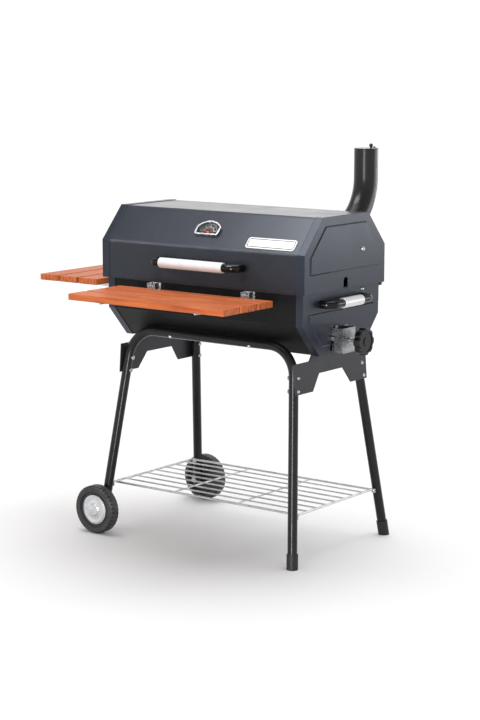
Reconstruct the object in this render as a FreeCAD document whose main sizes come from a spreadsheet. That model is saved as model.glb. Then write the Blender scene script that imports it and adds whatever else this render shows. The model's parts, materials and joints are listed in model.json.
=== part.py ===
import FreeCAD, Part
import math
import os

from FreeCAD import Placement, Rotation, Vector

# Barrel charcoal smoker on a wheeled tube stand. Millimetres, +Z up, front towards -Y,
# right-hand end towards +X. Every number below is a real size of the object.
SIZES = {
    # where the barrel's centre stands in the model frame
    "barrel_x": 80.5, "barrel_y": 88.9,
    # sheet metal and general fits
    "sheet": 1.5, "lap": 0.1, "running": 0.05,
    # lid: half octagon, open below
    "lid_half_length": 380, "lid_half_depth": 210, "lid_flat_half": 118,
    "lid_bottom": 797, "lid_crease": 913, "lid_top": 1015,
    "lid_rim": 27, "emboss_inset": 26, "emboss_rise": 3,
    "spit_width": 23, "spit_top": 832,
    # bowl: the same profile turned over
    "bowl_half_length": 367, "bowl_half_depth": 198, "bowl_flat_half": 114,
    "bowl_top": 802, "bowl_crease": 703.5, "bowl_bottom": 609.4, "bowl_rim": 25,
    "bowl_emboss_top": 738,
    # tube stand
    "tube_d": 28.6, "tube_wall": 1.5, "foot_x": 367.4, "foot_y": 246.6,
    "lean_x": 0.0983, "lean_y": 0.1438, "bar_z": 634, "leg_bend": 95,
    "cap_d": 34, "cap_len": 45,
    # wheels
    "wheel_d": 151, "wheel_width": 40, "axle_z": 75.5, "axle_d": 10,
    "hub_d": 92,
    # wire shelf between the legs
    "wire_d": 5, "wire_rim_d": 7, "wire_z": 150, "wire_half_x": 352, "wire_half_y": 196,
    "wire_rows": 9, "wire_cross_x": 120,
    # wooden shelves
    "slat_width": 73, "slat_gap": 8, "slat_thick": 19, "front_shelf_half": 288.5,
    "front_shelf_z": 780, "front_shelf_y": -471, "side_shelf_z": 789,
    "side_shelf_x": -632, "side_shelf_half": 222,
    # handles
    "handle_d": 24, "grip_d": 31, "handle_half": 158, "handle_z": 863, "handle_out": 40,
    "handle_bend": 26, "grip_len": 236, "side_handle_half": 108, "side_handle_z": 762,
    "side_handle_out": 35, "side_grip_len": 98,
    # chimney
    "pipe_d": 73, "pipe_wall": 1.5, "chimney_x": 302, "chimney_y": 222,
    "chimney_top": 1194, "chimney_bend": 150,
    # hinge axis
    "hinge_y": 216, "hinge_z": 790, "hinge_x": 354.5, "knuckle_d": 10, "pin_d": 6,
    # charcoal tray lift
    "wheel_knob_d": 80, "shaft_d": 10, "shaft_y": -23, "shaft_z": 651, "pitch_r": 12,
    "tray_half_x": 340, "tray_half_y": 95, "tray_z": 648, "tray_depth": 30, "tray_travel": 30,
    # cooking grates
    "grate_z": 778.2, "grate_half_y": 188, "grate_len": 344, "grate_rods": 15,
    # warming rack linkage
    "rack_y": 86, "rack_z": 908, "leg_y": 108, "leg_z": 785,
}

doc = FreeCAD.newDocument("charcoal_smoker")
dims = doc.addObject("Spreadsheet::Sheet", "dims")
for row, (alias, number) in enumerate(SIZES.items(), start=1):
    dims.set(f"A{row}", alias)
    dims.set(f"B{row}", str(number))
    dims.setAlias(f"B{row}", alias)
doc.recompute()

X, Y, Z = Vector(1, 0, 0), Vector(0, 1, 0), Vector(0, 0, 1)
NODES = []


def size(alias):
    return float(dims.get(alias))


CENTRE = Vector(size("barrel_x"), size("barrel_y"), 0)
SHEET = size("sheet")


def at(x, y, z, rotation=None):
    """Placement of a point given from the barrel's centre line and the floor."""
    return Placement(Vector(x, y, z) + CENTRE, rotation or Rotation())


def node(obj, label, placement=None):
    obj.Label = label
    if placement is not None:
        obj.Placement = placement
    NODES.append(obj)
    return obj


def bind(obj, **formulas):
    for name, formula in formulas.items():
        obj.setExpression(name, formula)
    return obj


def solid(label, shape, placement=None):
    """A piece, or one set of identical fasteners, made with Part's own functions."""
    obj = doc.addObject("Part::Feature", label)
    obj.Shape = shape
    return node(obj, label, (placement or Placement(CENTRE, Rotation())) * shape.Placement)


# ---------------------------------------------------------------- sketch and body helpers

def new_body(label, placement=None):
    body = doc.addObject("PartDesign::Body", label)
    return node(body, label, placement or Placement(CENTRE, Rotation()))


def new_sketch(body, name, role, offset=None):
    sketch = body.newObject("Sketcher::SketchObject", name)
    plane = [item for item in body.Origin.OriginFeatures if item.Role == role][0]
    sketch.AttachmentSupport = [(plane, "")]
    sketch.MapMode = "FlatFace"
    sketch.AttachmentOffset = offset or Placement()
    return sketch


def add_polygon(sketch, points):
    """Closed outline through (u, v) points."""
    corners = [Vector(u, v, 0) for u, v in points]
    for start, end in zip(corners, corners[1:] + corners[:1]):
        sketch.addGeometry(Part.LineSegment(start, end), False)


def add_circle(sketch, u, v, radius):
    sketch.addGeometry(Part.Circle(Vector(u, v, 0), Z, radius), False)


def add_slot(sketch, u, v, half, radius):
    """Upright slot with round ends."""
    top, low = Vector(u, v + half, 0), Vector(u, v - half, 0)
    side = Vector(radius, 0, 0)
    sketch.addGeometry(Part.Arc(top + side, top + Vector(0, radius, 0), top - side), False)
    sketch.addGeometry(Part.LineSegment(top - side, low - side), False)
    sketch.addGeometry(Part.Arc(low - side, low - Vector(0, radius, 0), low + side), False)
    sketch.addGeometry(Part.LineSegment(low + side, top + side), False)


def pad(body, sketch, length, **options):
    feature = body.newObject("PartDesign::Pad", sketch.Name + "_pad")
    feature.Profile = sketch
    for name, value in options.items():
        setattr(feature, name, value)
    feature.setExpression("Length", length)
    doc.recompute()
    return feature


def pocket(body, sketch, length, **options):
    before = body.Shape.Volume
    feature = body.newObject("PartDesign::Pocket", sketch.Name + "_pocket")
    feature.Profile = sketch
    for name, value in options.items():
        setattr(feature, name, value)
    feature.setExpression("Length", length)
    doc.recompute()
    if body.Shape.Volume > before - 0.5:
        raise ValueError(f"{feature.Name} removed nothing")
    return feature


def offset_line(points, distance):
    """Mitred offset of an open polyline, to the left of its direction."""
    flat = [Vector(u, v, 0) for u, v in points]
    steps = [(b - a).normalize() for a, b in zip(flat, flat[1:])]
    result = []
    for index, point in enumerate(flat):
        before = steps[max(index - 1, 0)]
        after = steps[min(index, len(steps) - 1)]
        left = Vector(-before.y, before.x, 0) + Vector(-after.y, after.x, 0)
        left.normalize()
        reach = distance / left.dot(Vector(-before.y, before.x, 0))
        result.append((point.x + left.x * reach, point.y + left.y * reach))
    return result


def strip(points, thickness):
    """Closed outline of a sheet bent along a polyline."""
    return points + offset_line(points, thickness)[::-1]


# ---------------------------------------------------------------- solid helpers

def rod(start, end, diameter):
    start, end = Vector(*start), Vector(*end)
    axis = end - start
    return Part.makeCylinder(diameter / 2, axis.Length, start, axis)


def block(low, high):
    low, high = Vector(*low), Vector(*high)
    span = high - low
    return Part.makeBox(span.x, span.y, span.z, low)


def moved(shape, placement):
    """Copy of a shape carried by a placement."""
    return shape.transformed(placement.toMatrix())


def hexagon(centre, axis, width, height):
    corners = []
    for step in range(7):
        angle = math.radians(60 * step)
        corners.append(Vector(math.cos(angle), math.sin(angle), 0) * (width / math.sqrt(3)))
    prism = Part.Face(Part.makePolygon(corners)).extrude(Z * height)
    prism.Placement = Placement(Vector(*centre), Rotation(Z, Vector(*axis)))
    return prism


def dome_head(centre, axis, diameter, height):
    """Round screw head standing on a surface, made as a spherical cap."""
    radius = (diameter * diameter / 4 + height * height) / (2 * height)
    ball = Part.makeSphere(radius, Vector(0, 0, height - radius))
    cap = ball.common(Part.makeCylinder(diameter, height + 1))
    cap.Placement = Placement(Vector(*centre), Rotation(Z, Vector(*axis)))
    return cap


def screw(centre, axis, shank_d, shank_len, head_d, head_h):
    """Round-headed screw: centre is under the head, axis points out of the surface."""
    head = dome_head(centre, axis, head_d, head_h)
    back = Vector(*centre) - Vector(*axis).normalize() * shank_len
    return head.fuse(rod(back, centre, shank_d)).removeSplitter()


def through_bolt(centre, axis, grip, shank_d, head_w, head_h):
    """Bolt through a joint: domed head at centre, hexagon nut at the far side."""
    axis = Vector(*axis).normalize()
    centre = Vector(*centre)
    far = centre - axis * grip
    body = dome_head(centre, axis, head_w, head_h)
    body = body.fuse(rod(far - axis * (head_h + 2), centre, shank_d))
    body = body.fuse(hexagon(far - axis * head_h, axis, head_w, head_h))
    return body.removeSplitter()


def tube_path(points, radius):
    """Wire through points with every corner rounded to the same radius."""
    points = [Vector(*point) for point in points]
    edges, start = [], points[0]
    for before, corner, after in zip(points, points[1:], points[2:]):
        inward = (before - corner).normalize()
        onward = (after - corner).normalize()
        half = inward.getAngle(onward) / 2
        reach = radius / math.tan(half)
        first, last = corner + inward * reach, corner + onward * reach
        middle = (inward + onward).normalize()
        centre = corner + middle * (radius / math.sin(half))
        edges.append(Part.makeLine(start, first))
        edges.append(Part.Arc(first, centre - middle * radius, last).toShape())
        start = last
    edges.append(Part.makeLine(start, points[-1]))
    return Part.Wire(edges)


def swept_tube(points, radius, diameter, wall=0.0):
    path = tube_path(points, radius)
    start = path.Edges[0].valueAt(path.Edges[0].FirstParameter)
    heading = path.Edges[0].tangentAt(path.Edges[0].FirstParameter)
    ring = Part.Wire(Part.makeCircle(diameter / 2, start, heading))
    outer = path.makePipeShell([ring], True, True)
    if not wall:
        return outer
    ring = Part.Wire(Part.makeCircle(diameter / 2 - wall, start, heading))
    return outer.cut(path.makePipeShell([ring], True, True))


# ---------------------------------------------------------------- lid

LID = [
    (-size("lid_half_depth"), size("lid_bottom")),
    (-size("lid_half_depth"), size("lid_crease")),
    (-size("lid_flat_half"), size("lid_top")),
    (size("lid_flat_half"), size("lid_top")),
    (size("lid_half_depth"), size("lid_crease")),
    (size("lid_half_depth"), size("lid_bottom")),
]
BOWL = [
    (size("bowl_half_depth"), size("bowl_top")),
    (size("bowl_half_depth"), size("bowl_crease")),
    (size("bowl_flat_half"), size("bowl_bottom")),
    (-size("bowl_flat_half"), size("bowl_bottom")),
    (-size("bowl_half_depth"), size("bowl_crease")),
    (-size("bowl_half_depth"), size("bowl_top")),
]
STEP = SHEET + size("lap")
LID_SHELL = offset_line(LID, -STEP)
BOWL_SHELL = offset_line(BOWL, -STEP)

# The lid's front and rear slopes share one tilt; local X runs along the lid, local Y up
# the slope and local Z out of it, with the origin on the crease.
slope_run = size("lid_half_depth") - size("lid_flat_half")
SLOPE = math.degrees(math.atan2(size("lid_top") - size("lid_crease"), slope_run))
SHELL_HALF_DEPTH = -LID_SHELL[1][0]
SHELL_CREASE = LID_SHELL[1][1]


def on_slope(x, along, out, front=True):
    turn = Rotation(X, SLOPE) if front else Rotation(Z, 180) * Rotation(X, SLOPE)
    side = -1 if front else 1
    base = Vector(x, side * SHELL_HALF_DEPTH, SHELL_CREASE)
    return Placement(base + turn.multVec(Vector(0, along, out)), turn)


DIAL_X, DIAL_ALONG = 3.0, 42.5
BADGE_X, BADGE_ALONG = 247.0, 30.6
HOLE_ALONG = DIAL_ALONG + 12.5

lid_shell = new_body("lid_shell")
profile = new_sketch(lid_shell, "lid_profile", "YZ_Plane")
add_polygon(profile, strip(LID_SHELL, -SHEET))
pad(lid_shell, profile, "2 * (dims.lid_half_length - dims.sheet - dims.lap)", Midplane=True)

CHIMNEY_ALONG = 88.0
chimney_mouth = on_slope(size("chimney_x"), CHIMNEY_ALONG, 0, front=False)
smoke_hole = new_sketch(lid_shell, "smoke_hole", "XY_Plane", chimney_mouth)
add_circle(smoke_hole, 0, 0, size("pipe_d") / 2 - size("pipe_wall"))
pocket(lid_shell, smoke_hole, "dims.sheet * 8", Midplane=True)
stem_hole = new_sketch(lid_shell, "stem_hole", "XY_Plane", on_slope(DIAL_X, HOLE_ALONG, 0))
add_circle(stem_hole, 0, 0, 4.1)
pocket(lid_shell, stem_hole, "dims.sheet * 8", Midplane=True)


def end_cap(label, side, outline, half_length, rim, emboss, holes):
    """Folded end of the lid or bowl: plate, rim lapped over the shell, pressed panel."""
    turn = Rotation() if side > 0 else Rotation(Z, 180)
    body = new_body(label, Placement(CENTRE, turn))
    place = Placement(Vector(size(half_length) - SHEET, 0, 0), Rotation())

    def plane(name, inset_x):
        shift = Placement(Vector(0, 0, place.Base.x + inset_x), Rotation())
        return new_sketch(body, f"{label}_{name}", "YZ_Plane", shift)

    plate = plane("plate", 0)
    add_polygon(plate, outline)
    pad(body, plate, "dims.sheet")
    lip = plane("rim", 0)
    add_polygon(lip, strip(outline, -SHEET))
    pad(body, lip, f"dims.{rim} - dims.sheet", Reversed=True)
    panel = plane("panel", SHEET)
    add_polygon(panel, emboss)
    pad(body, panel, "dims.emboss_rise", TaperAngle=-48)
    recess = plane("recess", 0)
    closed = emboss + emboss[:1]
    add_polygon(recess, offset_line(closed, -3.2)[:-1])
    pocket(body, recess, "dims.emboss_rise", Reversed=True)
    for index, hole in enumerate(holes):
        cut = plane(f"hole{index}", 0)
        hole(cut)
        pocket(body, cut, "dims.emboss_rise * 6", Midplane=True)
    return body


inset = size("emboss_inset")
lid_panel_low = 852.0
lid_emboss = offset_line(LID, -inset)
lid_emboss[0] = (lid_emboss[0][0], lid_panel_low)
lid_emboss[-1] = (lid_emboss[-1][0], lid_panel_low)
bowl_emboss = offset_line(BOWL, -inset)
bowl_emboss[0] = (bowl_emboss[0][0], size("bowl_emboss_top"))
bowl_emboss[-1] = (bowl_emboss[-1][0], size("bowl_emboss_top"))


def round_hole(y, z, radius):
    return lambda sketch: add_circle(sketch, y, z, radius)


def spit_notch(sketch):
    """Open-ended slot at the lid's bottom edge for a spit rod."""
    radius = size("spit_width") / 2
    top = size("spit_top") - radius
    low = size("lid_bottom") - 5
    left, right = Vector(-radius, top, 0), Vector(radius, top, 0)
    sketch.addGeometry(Part.Arc(right, Vector(0, top + radius, 0), left), False)
    sketch.addGeometry(Part.LineSegment(left, Vector(-radius, low, 0)), False)
    sketch.addGeometry(Part.LineSegment(Vector(-radius, low, 0), Vector(radius, low, 0)), False)
    sketch.addGeometry(Part.LineSegment(Vector(radius, low, 0), right), False)


PIVOT_D = 8.0
SLOT_Y, SLOT_LOW, SLOT_HIGH = -54.0, 618.0, 662.0


def shaft_hole(sketch):
    add_circle(sketch, size("shaft_y"), size("shaft_z"), size("shaft_d") / 2 + size("running"))


def finger_slot(sketch):
    add_slot(sketch, SLOT_Y, (SLOT_LOW + SLOT_HIGH) / 2, (SLOT_HIGH - SLOT_LOW) / 2 - 6, 6)


VENT_Z, VENT_R = 675.0, 38.0


def vent_holes(sketch):
    """Three round air holes behind the turning vent disc."""
    for step in range(3):
        angle = math.radians(120 * step)
        add_circle(sketch, 24 * math.sin(angle), VENT_Z + 24 * math.cos(angle), 9)
    add_circle(sketch, 0, VENT_Z, 3.05)


for name, side in (("right", 1), ("left", -1)):
    pivot = round_hole(side * size("rack_y"), size("rack_z"), PIVOT_D / 2)
    end_cap(f"lid_end_{name}", side, LID, "lid_half_length", "lid_rim", lid_emboss,
            [pivot, spit_notch])
    pivot = round_hole(side * size("leg_y"), size("leg_z"), PIVOT_D / 2)
    extra = [shaft_hole, finger_slot] if side > 0 else [vent_holes]
    end_cap(f"bowl_end_{name}", side, BOWL, "bowl_half_length", "bowl_rim", bowl_emboss,
            [pivot] + extra)

bowl_shell = new_body("bowl_shell")
profile = new_sketch(bowl_shell, "bowl_profile", "YZ_Plane")
add_polygon(profile, strip(BOWL_SHELL, -SHEET))
pad(bowl_shell, profile, "2 * (dims.bowl_half_length - dims.sheet - dims.lap)", Midplane=True)

# ---------------------------------------------------------------- tube stand

TUBE_D, TUBE_R = size("tube_d"), size("tube_d") / 2
LEAN = math.degrees(math.atan(size("lean_y")))


def leg_point(side, z, front=True):
    """Centre of a leg at height z."""
    y = size("foot_y") - size("lean_y") * z
    return Vector(side * (size("foot_x") - size("lean_x") * z), -y if front else y, z)


# Plates that carry the bowl stand against the outer side of two legs and lean with them.
PLATE_LEAN = math.degrees(math.atan(size("lean_x")))
PLATE_X = leg_point(1, 500).x + TUBE_R / math.cos(math.radians(PLATE_LEAN)) + 0.1
UP = 1 / math.cos(math.radians(PLATE_LEAN))
BOLT_SPOTS = [(end, z) for end in (-1, 1) for z in (510, 549)]


def saddle_spot(side, end, z):
    """Where a plate bolt crosses the plate's inner face, and which way it points."""
    turn = Rotation(Y, -side * PLATE_LEAN)
    y = end * abs(leg_point(1, z).y)
    spot = Vector(side * PLATE_X, y, 500) + turn.multVec(Vector(0, 0, (z - 500) * UP))
    return spot, turn.multVec(Vector(side, 0, 0))


slope_dir = Vector(0, BOWL[1][0] - BOWL[2][0], BOWL[1][1] - BOWL[2][1]).normalize()
BOWL_SCREW_X = 150


def bar_screw(x, end):
    """Centre of the frame's top bar at x, and the way its screw's head points."""
    bar = Vector(x, end * abs(leg_point(1, size("bar_z")).y), size("bar_z"))
    return bar, Vector(0, end * slope_dir.z, -slope_dir.y)


def leg_frame(label, front):
    """One tube bent into an upside-down U; the wheel-side leg stops at the axle."""
    top = size("bar_z")
    corners = [
        leg_point(-1, size("axle_z") - 17, front),
        leg_point(-1, top, front),
        leg_point(1, top, front),
        leg_point(1, 3, front),
    ]
    tube = swept_tube(corners, size("leg_bend"), TUBE_D, size("tube_wall"))
    end = -1 if front else 1
    for side in (-1, 1):
        for z in (510, 549):
            spot, out = saddle_spot(side, end, z)
            tube = tube.cut(rod(spot - out * 45, spot + out * 15, 6.2))
        bar, out = bar_screw(side * BOWL_SCREW_X, end)
        tube = tube.cut(rod(bar - out * 30, bar + out * 30, 6.2))
    axle = leg_point(-1, size("axle_z"), front)
    return solid(label, tube.cut(rod(axle - Y * 40, axle + Y * 40, size("axle_d") + 0.04)))


front_leg_frame = leg_frame("front_leg_frame", True)
rear_leg_frame = leg_frame("rear_leg_frame", False)

caps = []
for front in (True, False):
    foot, knee = leg_point(1, 0, front), leg_point(1, size("cap_len"), front)
    axis = (knee - foot).normalize()
    cap = Part.makeCylinder(size("cap_d") / 2, size("cap_len") + 8, foot - axis * 8, axis)
    bore = Part.makeCylinder(TUBE_R + 0.02, 80, leg_point(1, 3, front), axis)
    floor = block((-1000, -1000, -100), (1000, 1000, 0))
    caps.append(cap.cut(floor).cut(bore))
solid("foot_caps", Part.makeCompound(caps))

saddle_half = [(62, 549), (100, 500), (188, 500), (191, 590), (108, 590), (93, 608.6)]
saddle_outline = [(y, (z - 500) * UP) for y, z in saddle_half]
saddle_outline += [(-y, v) for y, v in saddle_outline[::-1]]


def saddle(label, side):
    turn = Rotation(Y, -side * PLATE_LEAN)
    body = new_body(label, at(side * PLATE_X, 0, 500, turn))
    face = new_sketch(body, f"{label}_outline", "YZ_Plane")
    add_polygon(face, saddle_outline)
    for end, z in BOLT_SPOTS:
        y = end * abs(leg_point(1, z).y)
        add_circle(face, y, (z - 500) * UP, 3.1)
    pad(body, face, "dims.sheet * 2", Reversed=side < 0)
    return body


for name, side in (("right", 1), ("left", -1)):
    saddle(f"saddle_plate_{name}", side)

saddle_bolts = []
for side in (-1, 1):
    for end, z in BOLT_SPOTS:
        spot, out = saddle_spot(side, end, z)
        head = spot + out * (SHEET * 2 + 0.02)
        saddle_bolts.append(through_bolt(head, out, TUBE_D + SHEET * 2 + 0.6, 6, 12, 4))
solid("saddle_bolts", Part.makeCompound(saddle_bolts))

# ---------------------------------------------------------------- wheels

WHEEL_Y = abs(leg_point(-1, size("axle_z")).y) + TUBE_R + 3.2
AXLE = leg_point(-1, size("axle_z"))


def wheel_parts(suffix, side):
    """Ribbed plastic wheel with a pressed hub cap, free on its own bolt."""
    radius, width = size("wheel_d") / 2, size("wheel_width")
    inner = side * WHEEL_Y
    centre = at(AXLE.x, inner, AXLE.z, Rotation(X, -90 * side))
    body = new_body(f"wheel_{suffix}", centre)
    half = new_sketch(body, f"wheel_{suffix}_half", "XZ_Plane")
    bore = size("axle_d") / 2 + size("running")
    add_polygon(half, [
        (bore, 0), (20, 0), (20, 8), (radius - 20, 14), (radius - 16, 1), (radius - 6, 1),
        (radius, 6), (radius, width - 6), (radius - 5, width - 1), (radius - 19, width - 3),
        (radius - 21, width - 9), (44, width - 12), (20, width - 12), (20, width - 9),
        (bore, width - 9),
    ])
    spin = body.newObject("PartDesign::Revolution", f"wheel_{suffix}_revolution")
    spin.Profile = half
    spin.ReferenceAxis = (half, ["V_Axis"])
    spin.Angle = 360
    doc.recompute()
    groove = new_sketch(body, f"tread_{suffix}", "XY_Plane", Placement(Vector(0, 0, -1), Rotation()))
    add_polygon(groove, [(radius - 3.2, -2.2), (radius + 3, -2.2), (radius + 3, 2.2),
                         (radius - 3.2, 2.2)])
    pocket(body, groove, "dims.wheel_width * 0.32", Reversed=True)
    low = body.Tip
    groove = new_sketch(body, f"tread_top_{suffix}", "XY_Plane",
                        Placement(Vector(0, 0, width + 1), Rotation()))
    add_polygon(groove, [(radius - 3.2, -2.2), (radius + 3, -2.2), (radius + 3, 2.2),
                         (radius - 3.2, 2.2)])
    pocket(body, groove, "dims.wheel_width * 0.32")
    ring = body.newObject("PartDesign::PolarPattern", f"lugs_{suffix}")
    ring.Originals = [low, body.Tip]
    ring.Axis = (half, ["V_Axis"])
    ring.Angle = 360
    ring.Occurrences = 36
    body.Tip = ring
    doc.recompute()

    cap = new_body(f"hub_cap_{suffix}", centre)
    face = new_sketch(cap, f"hub_{suffix}_half", "XZ_Plane")
    hub = size("hub_d") / 2
    base = width - 12 + 0.1
    add_polygon(face, [
        (0, base + 9), (0, base + 12), (17, base + 11.5), (20, base + 8.5), (30, base + 7),
        (40, base + 8.5), (hub, base + 6), (hub, base + 0.5), (hub - 2, base + 0.5),
        (hub - 2, base + 4.5), (40, base + 6.5), (30, base + 5), (19, base + 6),
        (16, base + 9),
    ])
    spin = cap.newObject("PartDesign::Revolution", f"hub_{suffix}_revolution")
    spin.Profile = face
    spin.ReferenceAxis = (face, ["V_Axis"])
    spin.Angle = 360
    doc.recompute()


for suffix, side in (("front", -1), ("rear", 1)):
    wheel_parts(suffix, side)


def wheel_bolt(side):
    """Axle bolt: head under the hub cap, collar between wheel and leg, nut inside the leg."""
    out = Vector(0, side, 0)
    leg = leg_point(-1, size("axle_z"), side < 0)
    wheel_inner = Vector(leg.x, side * WHEEL_Y, leg.z)
    head = wheel_inner + out * (size("wheel_width") - 8.7)
    collar = leg + out * (TUBE_R + 1.5)
    bolt = hexagon(head, out, 17, 5)
    bolt = bolt.fuse(rod(leg - out * (TUBE_R + 13), head, size("axle_d")))
    bolt = bolt.fuse(rod(collar, wheel_inner - out * 0.3, 17))
    bolt = bolt.fuse(hexagon(leg - out * (TUBE_R + 10), out, 17, 8))
    return bolt.removeSplitter()


solid("wheel_bolts", Part.makeCompound([wheel_bolt(-1), wheel_bolt(1)]))

# ---------------------------------------------------------------- wire shelf

WIRE_Z, WIRE_X, WIRE_Y = size("wire_z"), size("wire_half_x"), size("wire_half_y")


def wire_grid(half_x, half_y, z, rim_d, wire_d, rows, crosses):
    """Welded grid: a heavier rim with lengthwise wires and a few cross wires."""
    rim = [rod((-half_x, s * half_y, z), (half_x, s * half_y, z), rim_d) for s in (-1, 1)]
    rim += [rod((s * half_x, -half_y, z), (s * half_x, half_y, z), rim_d) for s in (-1, 1)]
    rim += [Part.makeSphere(rim_d / 2, Vector(a * half_x, b * half_y, z))
            for a in (-1, 1) for b in (-1, 1)]
    pitch = 2 * half_y / (rows - 1)
    for row in range(1, rows - 1):
        y = -half_y + pitch * row
        rim.append(rod((-half_x, y, z + 1), (half_x, y, z + 1), wire_d))
    for x in crosses:
        rim.append(rod((x, -half_y, z - 2), (x, half_y, z - 2), wire_d))
    return rim


tabs, shelf_bolts = [], []
for side_x in (-1, 1):
    for side_y in (-1, 1):
        leg = leg_point(side_x, WIRE_Z, side_y < 0)
        near, far = sorted((side_y * WIRE_Y, side_y * 208))
        tabs.append(block((leg.x - 6.5, near, WIRE_Z - 1.5), (leg.x + 6.5, far, WIRE_Z + 1.5)))
        near, far = sorted((side_y * 205.4, side_y * 208))
        ear = block((leg.x - 6.5, near, WIRE_Z - 12), (leg.x + 6.5, far, WIRE_Z + 1.5))
        bolt_z = WIRE_Z - 6.5
        tabs.append(ear.cut(rod((leg.x, near - 1, bolt_z), (leg.x, far + 1, bolt_z), 5.1)))
        outward = Vector(0, -side_y, 0)
        shelf_bolts.append(screw((leg.x, side_y * 205.3, bolt_z), outward, 5, 14, 9, 3))
grid = wire_grid(WIRE_X, WIRE_Y, WIRE_Z, size("wire_rim_d"), size("wire_d"),
                 int(size("wire_rows")), (-size("wire_cross_x"), size("wire_cross_x")))
solid("wire_shelf", grid[0].multiFuse(grid[1:] + tabs))
solid("wire_shelf_bolts", Part.makeCompound(shelf_bolts))

# ---------------------------------------------------------------- handles


def handle(label, half, wall, out, height, grip_len, turn):
    """Bowed tube with a plain sleeve grip and a screw into each foot from inside."""
    place = Placement(CENTRE, turn)
    depth = wall + out
    corners = [(-half, -wall, height), (-half, -depth, height), (half, -depth, height),
               (half, -wall, height)]
    tube = swept_tube(corners, size("handle_bend"), size("handle_d"))
    screws = []
    for foot in (-half, half):
        tube = tube.cut(rod((foot, -wall - 16, height), (foot, -wall, height), 5.04))
        seat = (foot, -wall + STEP + 0.1, height)
        screws.append(screw(seat, (0, 1, 0), 5, 14, 10, 3.5))
    ends = Vector(grip_len / 2, 0, 0)
    middle = Vector(0, -depth, height)
    grip = rod(middle - ends, middle + ends, size("grip_d"))
    rims = [edge for edge in grip.Edges if abs(edge.Length - math.pi * size("grip_d")) < 0.01]
    grip = grip.makeChamfer(1.5, rims)
    grip = grip.cut(rod(middle - ends, middle + ends, size("handle_d") + 0.04))
    solid(f"{label}_tube", tube, place)
    solid(f"{label}_grip", grip, place)
    return [moved(item, Placement(Vector(), turn)) for item in screws]


lid_screws = handle("lid_handle", size("handle_half"), SHELL_HALF_DEPTH, size("handle_out"),
                    size("handle_z"), size("grip_len"), Rotation())
bowl_screws = handle("side_handle", size("side_handle_half"), size("bowl_half_length"),
                     size("side_handle_out"), size("side_handle_z"), size("side_grip_len"),
                     Rotation(Z, 90))

# ---------------------------------------------------------------- lid thermometer and badge

DIAL_W, DIAL_FOOT, DIAL_H = 44.0, 41.0, 51.0
NEEDLE_UP = HOLE_ALONG - DIAL_ALONG


def add_dial(sketch, inset_by):
    """Upright sides under a shallow arch, drawn inside the full dial by a margin."""
    half, foot, top = DIAL_W - inset_by, DIAL_FOOT - inset_by, DIAL_H - inset_by
    corners = [Vector(-half, 29, 0), Vector(-half, inset_by + 6, 0), Vector(-foot, inset_by, 0),
               Vector(foot, inset_by, 0), Vector(half, inset_by + 6, 0), Vector(half, 29, 0)]
    for start, end in zip(corners, corners[1:]):
        sketch.addGeometry(Part.LineSegment(start, end), False)
    sketch.addGeometry(Part.Arc(corners[-1], Vector(0, top, 0), corners[0]), False)


def dial_piece(label, out, inset_by, thickness, cut_inset=None, cut_from=0.0, bore=0.0):
    body = new_body(label, at(0, 0, 0) * on_slope(DIAL_X, DIAL_ALONG, out))
    face = new_sketch(body, f"{label}_face", "XY_Plane")
    add_dial(face, inset_by)
    pad(body, face, thickness)
    if cut_inset is not None:
        shift = Placement(Vector(0, 0, cut_from), Rotation())
        well = new_sketch(body, f"{label}_well", "XY_Plane", shift)
        add_dial(well, cut_inset)
        pocket(body, well, thickness, Reversed=True)
    if bore:
        hole = new_sketch(body, f"{label}_bore", "XY_Plane")
        add_circle(hole, 0, NEEDLE_UP, bore)
        pocket(body, hole, "dims.sheet * 8", Midplane=True)
    return body


dial_piece("thermometer_bezel", 0.05, 0, "dims.sheet * 6", 4.5, 1.2, 4.1)
dial_piece("thermometer_dial", 1.35, 4.6, "dims.sheet * 0.6", bore=1.6)
dial_piece("thermometer_glass", 6.2, 4.55, "dims.sheet")

stem = rod((0, NEEDLE_UP, -50), (0, NEEDLE_UP, 1.2), 8)
stem = stem.fuse(rod((0, NEEDLE_UP, 0), (0, NEEDLE_UP, 3.9), 2))
stem = stem.fuse(hexagon((0, NEEDLE_UP, -SHEET - 5.1), (0, 0, 1), 14, 5))
solid("thermometer_stem", stem, at(0, 0, 0) * on_slope(DIAL_X, DIAL_ALONG, 0))

needle = Part.makeCylinder(3.2, 0.8, Vector(0, 0, 2.6))
needle = needle.fuse(Part.Face(Part.makePolygon([
    Vector(-6.5, -1.4, 2.6), Vector(-6.5, 1.4, 2.6), Vector(25, 0.4, 2.6), Vector(25, -0.4, 2.6),
    Vector(-6.5, -1.4, 2.6)])).extrude(Z * 0.8))
needle = needle.cut(Part.makeCylinder(1.05, 3, Vector(0, 0, 2)))
NEEDLE_REST = 160.0
solid("thermometer_needle", needle, at(0, 0, 0) * on_slope(DIAL_X, HOLE_ALONG, 0)
      * Placement(Vector(), Rotation(Z, NEEDLE_REST)))

badge = new_body("badge_plate", at(0, 0, 0) * on_slope(BADGE_X, BADGE_ALONG, 0.05))
face = new_sketch(badge, "badge_face", "XY_Plane")
half_w, half_h, corner = 87.0, 19.0, 9.0
for turn in range(4):
    sx, sy = ((1, 1), (-1, 1), (-1, -1), (1, -1))[turn]
    cx, cy = sx * (half_w - corner), sy * (half_h - corner)
    middle = Vector(cx + sx * corner * math.sqrt(0.5), cy + sy * corner * math.sqrt(0.5), 0)
    side_end, top_end = Vector(sx * half_w, cy, 0), Vector(cx, sy * half_h, 0)
    face.addGeometry(Part.Arc(side_end, middle, top_end), False)
for sign in (-1, 1):
    face.addGeometry(Part.LineSegment(Vector(corner - half_w, sign * half_h, 0),
                                      Vector(half_w - corner, sign * half_h, 0)), False)
    face.addGeometry(Part.LineSegment(Vector(sign * half_w, corner - half_h, 0),
                                      Vector(sign * half_w, half_h - corner, 0)), False)
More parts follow.
